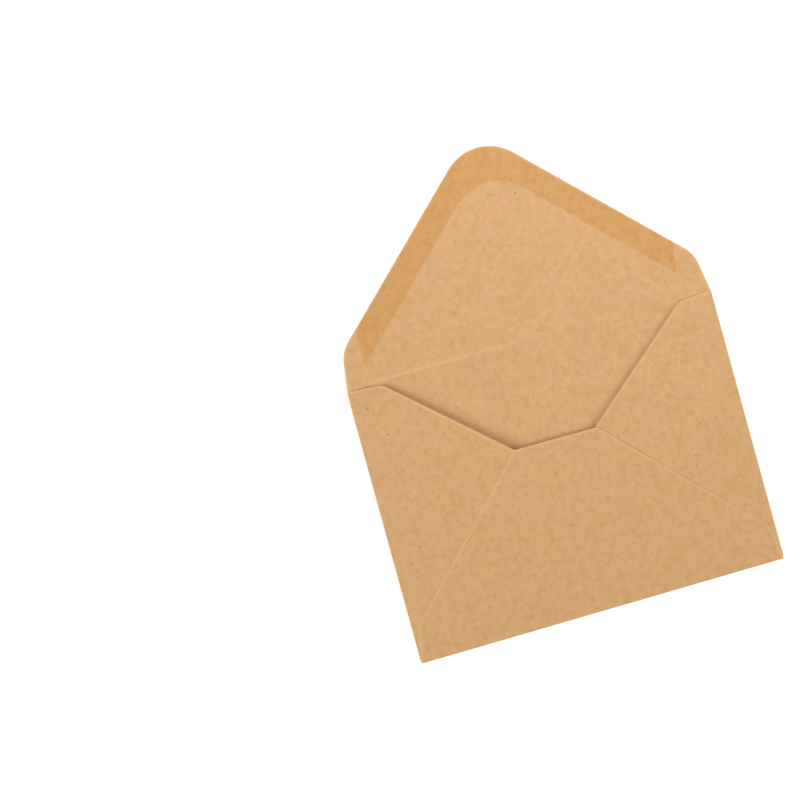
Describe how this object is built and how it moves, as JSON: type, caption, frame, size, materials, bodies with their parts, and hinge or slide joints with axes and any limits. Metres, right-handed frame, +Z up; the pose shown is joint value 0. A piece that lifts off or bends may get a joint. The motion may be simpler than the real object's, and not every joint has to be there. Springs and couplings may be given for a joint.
{
  "type": "paper envelope",
  "caption": "Kraft paper envelope with a pointed flap, open, back side up, with a gummed band along the flap's edge.",
  "frame": {"origin": "centre of the address panel's outer face, which lies on the table", "axes": "+X across the envelope from its left side fold to its right one, +Y from the bottom fold towards the open flap's tip, +Z up out of the back"},
  "size_m": [0.1842, 0.2279, 0.0041],
  "materials": {
    "kraft_paper": "matte brown kraft paper with short fibres",
    "dried_gum": "thin dried gum, slightly darker and more yellow than the paper"
  },
  "bodies": {
    "root": {"folded_sheet": "kraft_paper", "gum_strip": "dried_gum"}
  },
  "joints": []
}
